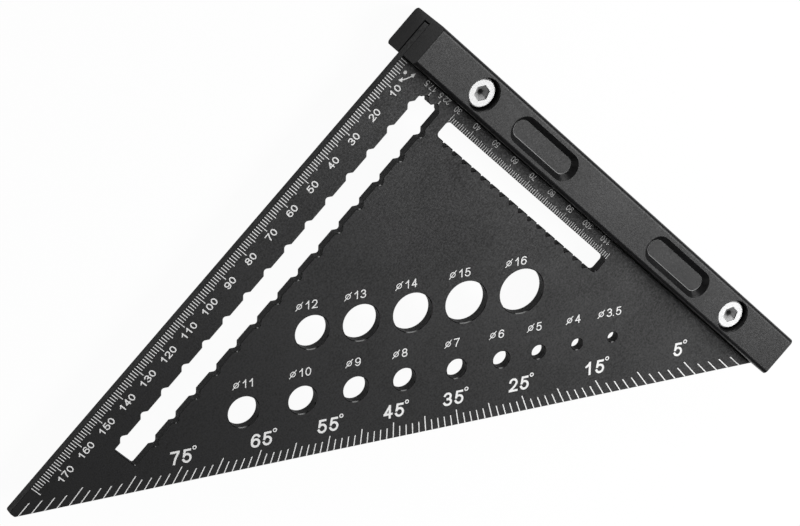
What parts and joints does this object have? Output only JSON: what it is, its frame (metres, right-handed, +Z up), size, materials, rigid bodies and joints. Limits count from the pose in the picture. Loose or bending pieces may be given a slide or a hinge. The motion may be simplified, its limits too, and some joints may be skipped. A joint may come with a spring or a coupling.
{
  "type": "rafter square",
  "caption": "Triangular rafter square: a thin slotted and drilled scale plate set in the groove of a fence bar that hooks on a board's edge, held by clamping screws.",
  "frame": {"origin": "middle of the outer box in X and Y, on the plane that the fence bar stands on", "axes": "+X along the free leg from the fence to the tip, +Y along the fence from the pivot corner, +Z up, square to the plate"},
  "size_m": [0.2056, 0.1942, 0.02],
  "materials": {
    "anodised_plate": "satin black anodised",
    "anodised_fence": "bead-blasted black anodised",
    "bright_steel": "bright zinc plated",
    "white_marks": "matt white engraved marks"
  },
  "bodies": {
    "root": {"scale_plate": "anodised_plate", "fence_bar": "anodised_fence", "pivot_end_screw": "bright_steel", "far_end_screw": "bright_steel"}
  },
  "joints": []
}
